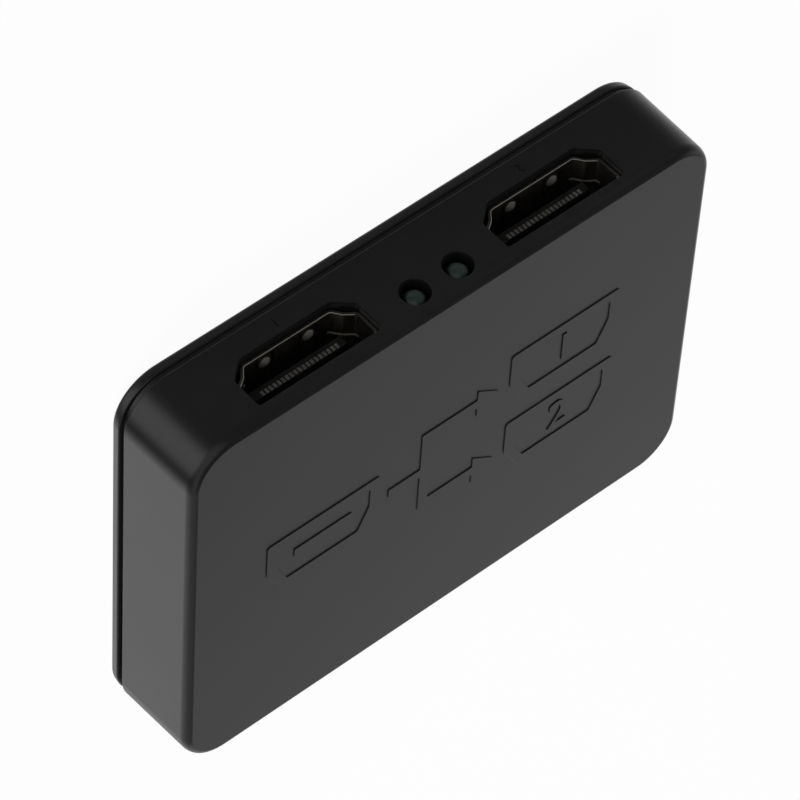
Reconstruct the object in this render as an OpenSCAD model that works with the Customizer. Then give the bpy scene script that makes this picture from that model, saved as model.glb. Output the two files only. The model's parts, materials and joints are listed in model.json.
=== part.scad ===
// Two-way video splitter: a small drafted plastic housing in two halves. One long side has two
// output sockets with an indicator lamp for each between them, the other long side has the input
// socket and a power socket, and one circuit board carries them all.
// Sizes are in millimetres. The splitter lies on its cover with +Z up, centred on X and Y, and
// the output side faces -Y.

/* [Housing] */
// Length of the housing along X, at the parting line
body_l = 65; // [60:0.5:80]
// Width of the housing along Y, from the output side to the input side
body_w = 49; // [46:0.5:60]
// Corner radius in plan
corner_r = 5.2; // [4:0.1:7]
// Thickness of the side walls
wall = 1.5; // [1.3:0.1:1.8]
// Thickness of the top panel
top_t = 1.4; // [1:0.1:2]
// Draft of the side walls, in degrees, so that the shell leaves its mould
draft = 1.4; // [0.2:0.1:2]
// Radius of the top edge
edge_r = 0.85; // [0.3:0.05:1.2]
// Free height between the sockets and the top panel
head_gap = 0.35; // [0.3:0.05:1.5]

/* [Bottom cover] */
// Thickness of the cover's plate
cover_t = 1.4; // [1.2:0.1:2.4]
// Height of the shadow groove between cover and shell
groove_h = 0.6; // [0.4:0.1:0.8]
// Depth of the shadow groove
groove_d = 0.6; // [0.3:0.1:0.8]
// How far the cover's edge stands in from the shell's
cover_inset = 0.15; // [0:0.05:0.3]
// Radius of the cover's lower edge
cover_r = 0.65; // [0.3:0.05:0.7]
// Thickness of the lip that locates the cover inside the shell
lip_t = 1; // [0.8:0.1:1.4]
// Width of each snap tab
snap_w = 6; // [4:0.5:9]
// Height of the snap tabs above the shell's rim
snap_h = 4.4; // [3.2:0.1:5.2]
// How far each snap hook stands out
hook_d = 0.55; // [0.35:0.05:0.65]
// Distance of the snap tabs from the middle of the short sides
snap_y = 9.5; // [6:0.5:11]

/* [Board] */
// Free height under the circuit board
standoff_h = 1.85; // [1.6:0.05:2.5]
// Thickness of the circuit board
board_t = 1.6; // [1:0.2:2]
// Diameter of the posts that hold the board
post_d = 4; // [3.4:0.2:4.4]
// Diameter of the pins that locate the board on the posts
pin_d = 1.8; // [1.4:0.1:2]

/* [Video sockets] */
// Distance of the output sockets from the ends of the housing
socket_end = 17.3; // [16.9:0.1:17.6]
// How far the output sockets and the lamps stand off the middle, to +X
output_shift = 0.45; // [0:0.05:0.6]
// Clear width of a socket
socket_w = 14; // [13.9:0.05:14.2]
// Clear height of a socket
socket_h = 4.55; // [4.5:0.05:4.8]
// Clear width along the narrow side
narrow_w = 10.4; // [9.8:0.1:10.8]
// Height of the slanted corners of the narrow side
bevel_h = 1.75; // [1.6:0.05:2.1]
// How far the slanted corners are bent in at their middle
bevel_bend = 0.2; // [0.1:0.02:0.3]
// Thickness of the folded sheet
sheet = 0.3; // [0.2:0.05:0.35]
// Length of a socket's shell
socket_l = 11.3; // [10.8:0.1:12]
// How far the shell's mouth lies behind the wall's outer face
socket_recess = 0.9; // [0.4:0.05:1]
// Width of the tongue
tongue_w = 11.2; // [10.6:0.1:11.6]
// Thickness of the tongue
tongue_t = 1.2; // [1.1:0.05:1.5]
// Distance of the tongue's tip behind the mouth
tongue_tip = 2.5; // [1.5:0.05:3]
// Spacing of the contacts in each row
contact_pitch = 1; // [0.9:0.02:1]
// Width of a contact
contact_w = 0.45; // [0.25:0.01:0.5]

/* [Lamps] */
// Diameter of a lamp
lamp_d = 3; // [2.6:0.1:3.2]
// Length of a lamp
lamp_l = 4.8; // [4.2:0.1:5.4]
// Distance between the two lamps
lamp_pitch = 5.3; // [4.8:0.1:5.6]
// How far a lamp's nose lies behind the wall's outer face
lamp_recess = 0.5; // [0.2:0.1:1]

/* [Power socket] */
// Distance of the power socket from the end of the input side
power_end = 14; // [13:0.5:17]
// Clear width of the power socket
power_w = 6.9; // [6.8:0.05:7.2]
// Clear height of the power socket
power_h = 1.85; // [1.8:0.05:2.2]
// Length of the power socket
power_l = 5.4; // [5:0.1:6]

/* [Clearances] */
// Gap around the sockets in the housing's cut-outs
cut_gap = 0.1; // [0.05:0.05:0.25]
// Gap around the lamps in their holes
lamp_fit = 0.15; // [0.05:0.05:0.3]
// Gap between the cover's lip or tabs and the shell
fit_gap = 0.1; // [0.05:0.05:0.2]
// Gap around pins and leads in the board's holes
hole_gap = 0.12; // [0.06:0.02:0.2]
// Gap between the sockets' shells and insulators
core_gap = 0.04; // [0.02:0.01:0.08]

/* [Hidden] */
$fn = 64;

black_abs = [0.06, 0.06, 0.06];
plated_steel = [0.75, 0.74, 0.7];
gold_plate = [0.83, 0.66, 0.3];
tinned = [0.78, 0.78, 0.77];
black_epoxy = [0.07, 0.07, 0.075];

// How far cutting tools pass their faces, and how far joined solids sink into each other
over = 1;
sink = 0.2;

// Heights from the table up
slope = tan(draft);
rim_z = cover_t + groove_h;
board_z = cover_t + standoff_h;
board_top = board_z + board_t;
socket_out_h = socket_h + 2 * sheet;
ceiling_z = board_top + socket_out_h + head_gap;
body_h = ceiling_z + top_t;
lip_top = board_z - sink;
snap_top = rim_z + snap_h;
hook_h = 1.6;
lamp_head = 0.1;
lamp_z = ceiling_z - lamp_head - lamp_d / 2;
lamp_rise = lamp_z - board_top;

// How far a side wall has leaned in at height z
function lean(z) = (z - rim_z) * slope;

// Distances from the middle of the housing
inner_x = body_l / 2 - wall;
inner_y = body_w / 2 - wall;
snap_x = inner_x - lean(snap_top) - fit_gap;
board_gap = 0.3;
board_l = 2 * (snap_x - lip_t - board_gap);
board_w = 2 * (inner_y - lean(board_top) - board_gap);
board_r = 1.5;
post_x = board_l / 2 - post_d / 2 - 1.1;
post_y = board_w / 2 - post_d / 2 - 2;
socket_x = body_l / 2 - socket_end;
socket_front = body_w / 2 - lean(board_top + socket_out_h / 2) - socket_recess;
lamp_front = body_w / 2 - lean(lamp_z) - lamp_recess;
power_x = body_l / 2 - power_end;
power_front = body_w / 2 - lean(board_top + power_h / 2) - socket_recess;

// Cut-outs for the sockets, with plain slanted corners
cut_bevel = (socket_w - narrow_w) / 2 + 0.15;
cut_rise = bevel_h - 0.05;
cut_r = 0.25;

// Sockets: legs, springs, tongue and contacts, measured from the mouth and from the board
socket_r = 0.5;
leg_w = 1.3;
leg_out = 0.8;
leg_top = 3.5;
leg_ys = [2.4, 8.2];
spring_x = 2.63;
spring_w = 1.7;
spring_y = 0.75;
spring_l = 4.4;
spring_slot = 0.3;
dimple_r = 0.9;
dimple_h = 0.26;
dimple_y = 1.4;
core_y = 6.2;
core_end = socket_l - 1.4;
tongue_z = sheet + 1.75;
tongue_chamfer = 0.12;
contact_t = 0.2;
contact_sink = 0.15;
contact_nose = 0.3;
contact_y = tongue_tip + 0.05;
contact_back = core_end + 0.45;
foot_l = 1.6;
rows = [[10, 1], [9, -1]];
tail_w = narrow_w / 2;
tail_h = 1.2;
tail_cut = 0.6;

// Power socket, measured in the same way
power_sheet = 0.25;
power_r = 0.35;
power_narrow = power_w - 1.5;
power_bevel = 0.7;
power_leg_y = 2.2;
power_leg_top = power_sheet + power_h - 0.4;
power_core_y = 3.4;
power_core_end = power_l - 0.9;
power_tongue_w = 3.7;
power_tongue_t = 0.6;
power_tongue_y = 0.8;
power_tongue_z = power_leg_top - power_tongue_t;
power_contact_w = 0.3;
power_contact_t = 0.15;
power_contact_y = power_tongue_y + 0.3;
power_contact_back = power_core_end + 0.2;
power_pitch = 0.65;
power_count = 5;
power_foot = 1.2;
power_tail_h = 1;
power_tail_cut = 0.4;

// Lamp leads
lead_t = 0.5;
lead_gap = 2.54;
lead_back = 1.5;

// Electronic parts. Places are shares of the board's half length and half width
chip_at = [0, -0.13];
chip_w = 10;
chip_h = 1.4;
chip_foot = 0.1;
chip_lead = [0.5, 0.22, 1, 0.7];
chip_side = 16;
memory_at = [0.42, 0.24];
memory_l = 4.9;
memory_w = 3.9;
memory_lead = [1.27, 0.4, 1.05, 0.7];
memory_side = 4;
regulator_at = [[-0.7, 0.42], [-0.7, 0.03]];
regulator_l = 6.5;
regulator_w = 3.5;
regulator_h = 1.6;
regulator_lead = [2.3, 0.7, 1.7, 0.8];
regulator_tab = [2.3, 3, 1.7, 0.8];
regulator_side = 3;
lead_sheet = 0.16;
crystal_at = [-0.37, -0.11];
crystal_w = 3.6;
crystal_l = 10;
crystal_h = 3.4;
flange_out = 0.4;
flange_t = 0.6;
capacitor_at = [[-0.42, 0.6], [-0.42, 0.31]];
capacitor_d = 5;
capacitor_h = 4.5;
capacitor_base = 0.8;
capacitor_rim = 0.15;
capacitor_cut = 1.1;
crimp_z = 0.9;
crimp_r = 0.3;
inductor_at = [0.7, 0.48];
inductor_w = 4.4;
inductor_h = 2;
inductor_cut = 0.8;
chip_part_l = 1.6;
chip_part_w = 0.8;
chip_part_end = 0.3;
ceramic_h = 0.8;
resistor_h = 0.45;
capacitor_places = [
    [-0.15, 0.2, 0], [-0.05, 0.2, 0], [0.05, 0.2, 0], [0.15, 0.2, 0], [0.26, -0.24, 90],
    [0.26, -0.11, 90], [-0.27, -0.4, 0], [0.27, -0.4, 0], [-0.7, 0.63, 0], [-0.865, 0.27, 90],
    [0.54, 0.49, 90], [0.85, 0.49, 90]
];
resistor_places = [
    [-0.11, -0.51, 0], [0.11, -0.51, 0], [-0.09, -0.6, 90], [0.09, -0.6, 90], [0.34, 0.44, 90],
    [0.42, 0.44, 90], [0.26, 0.03, 90], [-0.15, 0.31, 0], [0, 0.31, 0], [0.15, 0.31, 0]
];

// Outlines
function unit(v) = v / norm(v);
function turned(v, a) = [v.x * cos(a) - v.y * sin(a), v.x * sin(a) + v.y * cos(a)];
function flat(p) = [p.x, p.y];

// The arc that rounds the corner b between a and c by the radius r, for an outline that runs
// anticlockwise and is grown evenly by grow
function corner_arc(a, b, c, r, grow, steps) =
    let (u = unit(a - b), v = unit(c - b), half = acos(u * v) / 2, way = sign(cross(v, u)))
    let (centre = b + unit(u + v) * r / sin(half))
    let (start = (b + u * r / tan(half) - centre) * (r + way * grow) / r)
    [for (i = [0 : steps]) centre + turned(start, way * (180 - 2 * half) * i / steps)];

// A closed outline from corners that each hold their own radius
function rounded(corners, grow, steps = 6) =
    let (n = len(corners), p = [for (corner = corners) flat(corner)])
    [for (i = [0 : n - 1])
        each corner_arc(p[(i + n - 1) % n], p[i], p[(i + 1) % n], corners[i].z, grow, steps)];

// The D of a socket: wide along the top, slanted in to the narrow side, with the slanted corners
// bent in by bend at their middle and the whole grown evenly by grow
function d_outline(w, h, narrow, bevel, bend, grow, r) =
    let (low = narrow / 2, side = w / 2)
    let (mid = [low + side, bevel] / 2 + bend * unit([-bevel, side - low]))
    let (kink = bend > 0 ? [[mid.x, mid.y, 2 * r]] : [])
    let (right = concat([[low, 0, r]], kink, [[side, bevel, r], [side, h, 0.75 * r]]))
    let (left = [for (i = [len(right) - 1 : -1 : 0]) [-right[i].x, right[i].y, right[i].z]])
    rounded(concat(right, left), grow);

module rounded_rect(l, w, r) {
    square([l - 2 * r, w], center = true);
    square([l, w - 2 * r], center = true);
    for (sx = [-1, 1], sy = [-1, 1])
        translate([sx * (l / 2 - r), sy * (w / 2 - r)]) circle(r);
}

// Extrudes an outline drawn in X and Z along Y
module along_y(from, to) {
    translate([0, to, 0]) rotate([90, 0, 0]) linear_extrude(to - from) children();
}

// Extrudes an outline drawn in Y and Z to both sides along X
module along_x(w) {
    rotate([90, 0, 90]) linear_extrude(w, center = true) children();
}

module box(from, to) {
    translate(from) cube(to - from);
}

// Cross-section of a moulded edge: leans in by lean_in per unit of height and ends in a round
// of radius round_r. The foot is at base, with half width r there, and starts drop lower
module edge_profile(r, base, top, round_r, lean_in, drop) {
    angle = atan(lean_in);
    centre_z = top - round_r;
    centre_x = r - (centre_z - base) * lean_in - round_r / cos(angle);
    tip = [centre_x + round_r * cos(angle), centre_z + round_r * sin(angle)];
    polygon([[0, base - drop], [r + drop * lean_in, base - drop], tip, [centre_x, top], [0, top]]);
    intersection() {
        translate([centre_x, centre_z]) circle(round_r);
        translate([centre_x, centre_z]) square(2 * round_r);
    }
}

// A moulded block with round corners in plan, leaning walls and a rounded top edge
module moulded_block(l, w, r, base, top, round_r, lean_in, drop = 0) {
    cx = l / 2 - r;
    cy = w / 2 - r;
    for (sx = [-1, 1], sy = [-1, 1])
        translate([sx * cx, sy * cy, 0])
            rotate_extrude() edge_profile(r, base, top, round_r, lean_in, drop);
    rotate([0, 0, 90]) along_y(-cx, cx) moulded_section(cy, r, base, top, round_r, lean_in, drop);
    along_y(-cy, cy) moulded_section(cx, r, base, top, round_r, lean_in, drop);
}

module moulded_section(half, r, base, top, round_r, lean_in, drop) {
    for (side = [0, 1])
        mirror([side, 0]) translate([half, 0]) edge_profile(r, base, top, round_r, lean_in, drop);
    translate([-half, base - drop]) square([2 * half, top - base + drop]);
}

// Places
module at_output(side) {
    translate([side * socket_x + output_shift, -socket_front, board_top]) children();
}

module at_input() {
    rotate([0, 0, 180]) translate([0, -socket_front, board_top]) children();
}

module at_power() {
    rotate([0, 0, 180]) translate([power_x, -power_front, board_top]) children();
}

module at_lamp(side) {
    translate([side * lamp_pitch / 2 + output_shift, -lamp_front, board_top]) children();
}

module at_posts() {
    for (sx = [-1, 1], sy = [-1, 1])
        translate([sx * post_x, sy * post_y, 0]) children();
}

module at_snaps() {
    for (turn = [0, 180], sy = [-1, 1])
        rotate([0, 0, turn]) translate([snap_x, sy * snap_y, 0]) children();
}

module on_board(share) {
    translate([share.x * board_l / 2, share.y * board_w / 2, board_top]) children();
}

// Housing
module socket_cut() {
    gap = sheet + cut_gap;
    w = socket_w + 2 * gap;
    h = socket_h + 2 * gap;
    along_y(-socket_recess - over, wall)
        translate([0, -cut_gap])
            polygon(d_outline(w, h, w - 2 * cut_bevel, cut_rise, 0, 0, cut_r));
}

module power_cut() {
    along_y(-socket_recess - over, wall) power_d(power_sheet + cut_gap);
}

module lamp_cut() {
    translate([0, -over - lamp_recess, lamp_rise]) rotate([-90, 0, 0])
        cylinder(h = over + 2 * lamp_recess + wall, d = lamp_d + 2 * lamp_fit);
}

module snap_pocket() {
    side = snap_w / 2 + 2 * fit_gap;
    box([-fit_gap, -side, snap_top - hook_h - 2 * fit_gap], [hook_d + fit_gap, side, snap_top + fit_gap]);
}

// A post under the top panel, with the pin that passes through the board into the cover
module board_post() {
    post_top = ceiling_z + top_t / 2;
    pin_foot = rim_z + sink;
    translate([0, 0, board_top]) cylinder(h = post_top - board_top, d = post_d);
    translate([0, 0, pin_foot]) cylinder(h = post_top - pin_foot, d = pin_d);
}

module top_shell() {
    color(black_abs) difference() {
        union() {
            difference() {
                moulded_block(body_l, body_w, corner_r, rim_z, body_h, edge_r, slope);
                moulded_block(
                    body_l - 2 * wall, body_w - 2 * wall, corner_r - wall,
                    rim_z, ceiling_z, edge_r / 2, slope, over
                );
            }
            at_posts() board_post();
        }
        for (side = [-1, 1]) at_output(side) socket_cut();
        at_input() socket_cut();
        at_power() power_cut();
        for (side = [-1, 1]) at_lamp(side) lamp_cut();
        at_snaps() snap_pocket();
    }
}

module snap_tab() {
    box([-lip_t, -snap_w / 2, cover_t - sink], [0, snap_w / 2, snap_top]);
    translate([0, snap_w / 2, snap_top]) rotate([90, 0, 0]) linear_extrude(snap_w)
        polygon([[-sink, -hook_h], [0, -hook_h], [hook_d, -hook_h * 0.75], [0, 0], [-sink, 0]]);
}

module cover_post() {
    difference() {
        translate([0, 0, cover_t - sink]) cylinder(h = standoff_h + sink, d = post_d);
        translate([0, 0, cover_t + sink]) cylinder(h = standoff_h, d = pin_d + 2 * hole_gap);
    }
}

// A plate of the housing's outline, smaller by inset all round
module inset_plate(inset, from, to) {
    translate([0, 0, from]) linear_extrude(to - from)
        rounded_rect(body_l - 2 * inset, body_w - 2 * inset, corner_r - inset);
}

module bottom_cover() {
    lip_out = wall + lean(lip_top) + fit_gap;
    color(black_abs) {
        translate([0, 0, cover_t]) mirror([0, 0, 1])
            moulded_block(
                body_l - 2 * cover_inset, body_w - 2 * cover_inset, corner_r - cover_inset,
                0, cover_t, cover_r, 0
            );
        difference() {
            union() {
                inset_plate(groove_d, cover_t - sink, rim_z);
                inset_plate(lip_out, rim_z - sink, lip_top);
            }
            inset_plate(lip_out + lip_t, cover_t, lip_top + over);
        }
        at_snaps() snap_tab();
        at_posts() cover_post();
    }
}

// Circuit board
module board_slot(x, y, across, along) {
    box([x - hole_gap, y - hole_gap, -board_t - over], [x + across + hole_gap, y + along + hole_gap, over]);
}

module socket_slots() {
    for (y = leg_ys, side = [0, 1])
        mirror([side, 0, 0]) board_slot(socket_w / 2, y, sheet, leg_w);
}

module power_slots() {
    for (side = [0, 1])
        mirror([side, 0, 0]) board_slot(power_w / 2, power_leg_y, power_sheet, leg_w);
}

module lamp_holes() {
    for (side = [-1, 1])
        translate([side * lead_gap / 2, lamp_l + lead_back - lead_t / 2, -board_t - over])
            cylinder(h = board_t + 2 * over, d = lead_t * sqrt(2) + 2 * hole_gap);
}

module circuit_board() {
    color([0.05, 0.28, 0.14]) difference() {
        translate([0, 0, board_z]) linear_extrude(board_t) rounded_rect(board_l, board_w, board_r);
        at_posts() translate([0, 0, board_z - over])
            cylinder(h = board_t + 2 * over, d = pin_d + 2 * hole_gap);
        for (side = [-1, 1]) at_output(side) socket_slots();
        at_input() socket_slots();
        at_power() power_slots();
        for (side = [-1, 1]) at_lamp(side) lamp_holes();
    }
}

// Video sockets
module socket_d(grow) {
    translate([0, sheet])
        polygon(d_outline(socket_w, socket_h, narrow_w, bevel_h, bevel_bend, grow, socket_r));
}

// The slot around a spring finger, and the bump that presses on the plug
module spring_slots() {
    half = spring_w / 2 + spring_slot;
    difference() {
        box([-half, spring_y - spring_slot, -sheet], [half, spring_y + spring_l, 2 * sheet]);
        box([-spring_w / 2, spring_y, -over], [spring_w / 2, spring_y + spring_l + over, over]);
    }
}

module spring_dimple() {
    intersection() {
        translate([0, dimple_y, sheet + dimple_h - dimple_r]) sphere(dimple_r);
        box([-over, 0, sheet / 2], [over, dimple_y + over, over]);
    }
}

// Springs of the narrow side, and the same in mirror image on the wide side
module at_springs() {
    for (side = [-1, 1]) {
        translate([side * spring_x, 0, 0]) children();
        translate([side * spring_x, 0, socket_out_h]) mirror([0, 0, 1]) children();
    }
}

module socket_shell() {
    color(plated_steel) {
        difference() {
            along_y(0, socket_l) socket_d(sheet);
            along_y(-over, socket_l - sheet) socket_d(0);
            box([-tail_w, core_end - tail_cut, -over], [tail_w, socket_l + over, tail_h]);
            at_springs() spring_slots();
        }
        at_springs() spring_dimple();
        for (y = leg_ys, side = [0, 1])
            mirror([side, 0, 0])
                box([socket_w / 2, y, -board_t - leg_out], [socket_w / 2 + sheet, y + leg_w, leg_top]);
    }
}

// A row of contacts, in the upper face of the tongue where way is 1 and in the lower one for -1
module contact_places(count) {
    for (i = [0 : count - 1])
        translate([(i - (count - 1) / 2) * contact_pitch, 0, 0]) children();
}

module socket_core() {
    low = tongue_z - tongue_t / 2;
    high = tongue_z + tongue_t / 2;
    root_y = core_y + tail_cut;
    color([0.05, 0.05, 0.05]) difference() {
        union() {
            along_y(core_y, core_end) socket_d(-core_gap);
            along_x(tongue_w) polygon([
                [tongue_tip + tongue_chamfer, low], [root_y, low], [root_y, high],
                [tongue_tip + tongue_chamfer, high], [tongue_tip, high - tongue_chamfer],
                [tongue_tip, low + tongue_chamfer]
            ]);
        }
        for (row = rows)
            contact_places(row[0]) contact_channel(row[1]);
    }
}

// The channel keeps its floor against the contact, is a little wider and higher than it, and is
// open at the tip for the contact's turned nose
module contact_channel(way) {
    half = contact_w / 2 + core_gap;
    floor_z = tongue_z + way * (tongue_t / 2 - contact_sink);
    roof_z = floor_z + way * (contact_t + core_gap);
    nose_z = floor_z - way * (contact_nose + core_gap);
    nose_y = contact_y + contact_t + core_gap;
    box([-half, contact_y - over, min(floor_z, roof_z)], [half, core_end + over, max(floor_z, roof_z)]);
    box([-half, contact_y - over, min(nose_z, roof_z)], [half, nose_y, max(nose_z, roof_z)]);
}

module socket_contacts() {
    color(gold_plate)
        for (row = rows)
            contact_places(row[0]) contact_strip(row[1]);
}

// A flat contact: turned in at the tip, along the tongue, down behind the insulator and out along
// the board
module contact_strip(way) {
    t = contact_t;
    back = contact_back;
    foot = back + foot_l;
    inside = tongue_z + way * (tongue_t / 2 - contact_sink);
    low = min(inside, inside + way * t);
    nose = inside - way * contact_nose;
    along_x(contact_w) {
        polygon([
            [contact_y, low], [back, low], [back, 0], [foot, 0],
            [foot, t], [back + t, t], [back + t, low + t], [contact_y, low + t]
        ]);
        polygon([
            [contact_y, min(nose, low)], [contact_y + t, min(nose, low)],
            [contact_y + t, max(nose, low + t)], [contact_y, max(nose, low + t)]
        ]);
    }
}

module output_1_shell() { at_output(1) socket_shell(); }
module output_1_core() { at_output(1) socket_core(); }
module output_1_contacts() { at_output(1) socket_contacts(); }
module output_2_shell() { at_output(-1) socket_shell(); }
module output_2_core() { at_output(-1) socket_core(); }
module output_2_contacts() { at_output(-1) socket_contacts(); }
module input_shell() { at_input() socket_shell(); }
module input_core() { at_input() socket_core(); }
module input_contacts() { at_input() socket_contacts(); }

// Power socket
module power_d(grow) {
    translate([0, power_sheet])
        polygon(d_outline(power_w, power_h, power_narrow, power_bevel, 0, grow, power_r));
}

module power_places() {
    for (i = [0 : power_count - 1])
        translate([(i - (power_count - 1) / 2) * power_pitch, 0, 0]) children();
}

module power_shell() {
    half = power_tongue_w / 2;
    at_power() color(plated_steel) {
        difference() {
            along_y(0, power_l) power_d(power_sheet);
            along_y(-over, power_l - power_sheet) power_d(0);
            box([-half, power_core_end - power_tail_cut, -over], [half, power_l + over, power_tail_h]);
        }
        for (side = [0, 1])
            mirror([side, 0, 0]) box(
                [power_w / 2, power_leg_y, -board_t - leg_out],
                [power_w / 2 + power_sheet, power_leg_y + leg_w, power_leg_top]
            );
    }
}

module power_core() {
    half = power_tongue_w / 2;
    slot = power_contact_w / 2 + core_gap;
    at_power() color([0.05, 0.05, 0.05]) difference() {
        union() {
            along_y(power_core_y, power_core_end) power_d(-core_gap);
            box(
                [-half, power_tongue_y, power_tongue_z],
                [half, power_core_y + power_tail_cut, power_tongue_z + power_tongue_t]
            );
        }
        power_places() box(
            [-slot, power_contact_y - core_gap, power_tongue_z - power_contact_t],
            [slot, power_l, power_tongue_z + power_contact_t / 2]
        );
    }
}

module power_contacts() {
    t = power_contact_t;
    back = power_contact_back;
    foot = back + power_foot;
    low = power_tongue_z - t / 2;
    at_power() color(gold_plate) power_places() along_x(power_contact_w) polygon([
        [power_contact_y, low], [back, low], [back, 0], [foot, 0],
        [foot, t], [back + t, t], [back + t, low + t], [power_contact_y, low + t]
    ]);
}

// Lamps
module lamp_lens(side) {
    r = lamp_d / 2;
    at_lamp(side) translate([0, 0, lamp_rise]) rotate([-90, 0, 0]) color([0.35, 0.6, 0.4])
        rotate_extrude() {
            intersection() {
                translate([0, r]) circle(r);
                square(r);
            }
            translate([0, r]) square([r, lamp_l - r]);
        }
}

module lamp_leads(side) {
    back = lamp_l + lead_back;
    low = lamp_rise - lead_t / 2;
    end = -board_t - leg_out;
    at_lamp(side) color(tinned)
        for (lead = [-1, 1])
            translate([lead * lead_gap / 2, 0, 0]) along_x(lead_t) polygon([
                [lamp_l, low], [back - lead_t, low], [back - lead_t, end],
                [back, end], [back, low + lead_t], [lamp_l, low + lead_t]
            ]);
}

module lamp_1_lens() { lamp_lens(1); }
module lamp_1_leads() { lamp_leads(1); }
module lamp_2_lens() { lamp_lens(-1); }
module lamp_2_leads() { lamp_leads(-1); }

// Chips. A row of gull-wing leads along Y beside a body that ends at x = 0, each given by its
// spacing, width, reach and rise
module gull_leads(count, lead) {
    t = lead_sheet;
    reach = lead[2];
    rise = lead[3];
    bend = reach * 0.35;
    foot = reach * 0.55;
    for (i = [0 : count - 1])
        translate([0, (i - (count - 1) / 2) * lead[0], 0])
            along_y(-lead[1] / 2, lead[1] / 2) polygon([
                [0, rise], [bend, rise], [foot, 0], [reach, 0],
                [reach, t], [foot + t, t], [bend + t, rise + t], [0, rise + t]
            ]);
}

// A chip's body, with the dimple that marks its first lead
module chip_body(l, w, h) {
    mark_r = min(l, w) / 12;
    mark = 3 * mark_r;
    difference() {
        box([-l / 2, -w / 2, chip_foot], [l / 2, w / 2, chip_foot + h]);
        translate([mark - l / 2, mark - w / 2, h]) cylinder(h = over, r = mark_r);
    }
}

module splitter_chip() {
    on_board(chip_at) color(black_epoxy) chip_body(chip_w, chip_w, chip_h);
}

module splitter_chip_leads() {
    on_board(chip_at) color(tinned)
        for (turn = [0 : 90 : 270])
            rotate([0, 0, turn]) translate([chip_w / 2, 0, 0]) gull_leads(chip_side, chip_lead);
}

module memory_chip() {
    on_board(memory_at) color(black_epoxy) chip_body(memory_w, memory_l, chip_h);
}

module memory_chip_leads() {
    on_board(memory_at) color(tinned)
        for (turn = [0, 180])
            rotate([0, 0, turn]) translate([memory_w / 2, 0, 0]) gull_leads(memory_side, memory_lead);
}

module regulator_bodies() {
    color(black_epoxy)
        for (at = regulator_at) on_board(at) chip_body(regulator_l, regulator_w, regulator_h);
}

module regulator_leads() {
    color(tinned)
        for (at = regulator_at)
            on_board(at) {
                rotate([0, 0, -90]) translate([regulator_w / 2, 0, 0])
                    gull_leads(regulator_side, regulator_lead);
                rotate([0, 0, 90]) translate([regulator_w / 2, 0, 0]) gull_leads(1, regulator_tab);
            }
}

// Metal can with a flange, lying along Y
module crystal() {
    flange = 2 * flange_out;
    on_board(crystal_at) color(tinned) {
        linear_extrude(flange_t) oblong(crystal_w + flange, crystal_l + flange);
        linear_extrude(crystal_h) oblong(crystal_w, crystal_l);
    }
}

module oblong(w, l) {
    square([w, l - w], center = true);
    for (side = [-1, 1]) translate([0, side * (l - w) / 2]) circle(d = w);
}

module capacitor_bases() {
    side = capacitor_d / 2 + capacitor_rim;
    cut = side - capacitor_cut;
    color(black_epoxy)
        for (at = capacitor_at)
            on_board(at) linear_extrude(capacitor_base)
                polygon([[-side, -side], [cut, -side], [side, -cut], [side, cut], [cut, side], [-side, side]]);
}

// Aluminium cans with the crimped groove near the foot
module capacitor_cans() {
    r = capacitor_d / 2;
    color(tinned)
        for (at = capacitor_at)
            on_board(at) translate([0, 0, capacitor_base]) difference() {
                cylinder(h = capacitor_h - capacitor_base, r = r);
                rotate_extrude() translate([r, crimp_z]) circle(crimp_r);
            }
}

module inductor() {
    side = inductor_w / 2;
    cut = side - inductor_cut;
    on_board(inductor_at) color([0.2, 0.2, 0.21]) linear_extrude(inductor_h) polygon([
        [-cut, -side], [cut, -side], [side, -cut], [side, cut],
        [cut, side], [-cut, side], [-side, cut], [-side, -cut]
    ]);
}

// Small ceramic parts between tinned ends
module chip_parts(places, h) {
    half = chip_part_l / 2 - chip_part_end;
    side = chip_part_w / 2;
    for (p = places)
        on_board(p) rotate([0, 0, p.z]) box([-half, -side, 0], [half, side, h]);
}

module chip_part_ends(places, h) {
    half = chip_part_l / 2;
    side = chip_part_w / 2;
    for (p = places, end = [0, 1])
        on_board(p) rotate([0, 0, p.z + 180 * end])
            box([half - chip_part_end, -side, 0], [half, side, h]);
}

module chip_capacitors() { color([0.6, 0.45, 0.3]) chip_parts(capacitor_places, ceramic_h); }
module chip_resistors() { color(black_epoxy) chip_parts(resistor_places, resistor_h); }

module chip_ends() {
    color(tinned) {
        chip_part_ends(capacitor_places, ceramic_h);
        chip_part_ends(resistor_places, resistor_h);
    }
}

top_shell();
bottom_cover();
circuit_board();
output_1_shell();
output_1_core();
output_1_contacts();
output_2_shell();
output_2_core();
output_2_contacts();
input_shell();
input_core();
input_contacts();
power_shell();
power_core();
power_contacts();
lamp_1_lens();
lamp_1_leads();
lamp_2_lens();
lamp_2_leads();
splitter_chip();
splitter_chip_leads();
memory_chip();
memory_chip_leads();
regulator_bodies();
regulator_leads();
crystal();
capacitor_cans();
capacitor_bases();
inductor();
chip_capacitors();
chip_resistors();
chip_ends();
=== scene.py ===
import json
import math

import bmesh
import bpy
from mathutils import Matrix, Vector


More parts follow.
